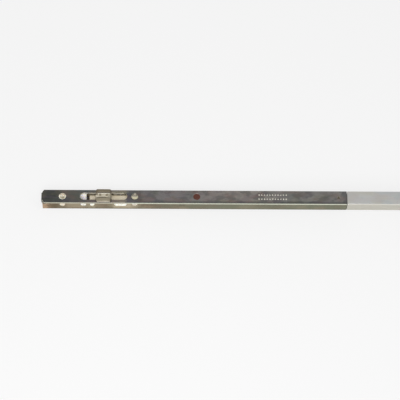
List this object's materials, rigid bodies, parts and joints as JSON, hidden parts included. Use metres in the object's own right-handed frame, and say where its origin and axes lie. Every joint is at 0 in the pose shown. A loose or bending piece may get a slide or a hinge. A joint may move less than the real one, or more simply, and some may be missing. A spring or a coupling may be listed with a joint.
{
  "type": "espagnolette lock",
  "caption": "Face-fixed espagnolette lock rail with a sliding locking block, a drive rod, and a rack and pinion gear case turned by a square spindle",
  "frame": {"origin": "centre of the square spindle socket, on the rail's middle plane", "axes": "+X along the rail from the pictured end to the gear case end, +Z out of the faceplate, Y along the spindle"},
  "size_m": [0.5214, 0.016, 0.0332],
  "materials": {
    "dark_plate": "dark grey passivated zinc",
    "pale_plate": "pale passivated zinc",
    "channel_steel": "yellowish passivated zinc",
    "rod_steel": "yellowish passivated zinc",
    "block_zinc": "passivated die casting",
    "rivet_steel": "bright zinc",
    "rivet_dark": "dark passivated zinc",
    "white_nylon": "moulded nylon",
    "cream_nylon": "moulded nylon",
    "brown_nylon": "moulded nylon",
    "black_plastic": "moulded",
    "hub_steel": "sintered steel",
    "bush_acetal": "moulded acetal",
    "case_zinc": "bare zinc die casting"
  },
  "bodies": {
    "lock_frame": {"faceplate_rail": "dark_plate", "faceplate_gear": "pale_plate", "channel_rail": "channel_steel", "channel_gear": "channel_steel", "channel_tail": "channel_steel", "end_cap_left": "black_plastic", "end_cap_right": "black_plastic", "screw_bush_left": "white_nylon", "screw_bush_right": "white_nylon", "slot_end_guide": "white_nylon", "rod_tip_guide": "white_nylon", "slot_side_guide": "white_nylon", "button_guide": "white_nylon", "rail_guides": "white_nylon", "glide_button": "cream_nylon", "mid_fix_plug": "brown_nylon", "joiner_plate": "channel_steel", "joiner_rivets": "rivet_steel", "hub_bush_front": "bush_acetal", "hub_bush_back": "bush_acetal", "gearcase_front": "case_zinc", "gearcase_back": "case_zinc", "case_rivets": "rivet_steel", "handle_sleeve_left": "rivet_steel", "handle_sleeve_right": "rivet_steel"},
    "rod_train": {"drive_rod": "rod_steel", "mid_fix_stub": "brown_nylon", "locking_block": "block_zinc", "block_rivets": "rivet_dark", "rack_bar": "rod_steel", "rod_coupler": "rod_steel", "coupler_rivets": "rivet_steel"},
    "spindle_hub": {"pinion_hub": "hub_steel"}
  },
  "joints": [
    {"name": "rod_slide", "type": "slide", "parent": "lock_frame", "child": "rod_train", "axis": [1, 0, 0], "range_m": [-0.018, 0.018]},
    {"name": "hub_turn", "type": "hinge", "parent": "lock_frame", "child": "spindle_hub", "pos_m": [0, 0, 0], "axis": [0, 1, 0], "range_deg": [-90, 90]}
  ],
  "couplings": [
    {"joint": "hub_turn", "follows": "rod_slide", "rad_per_m": 87.266}
  ]
}
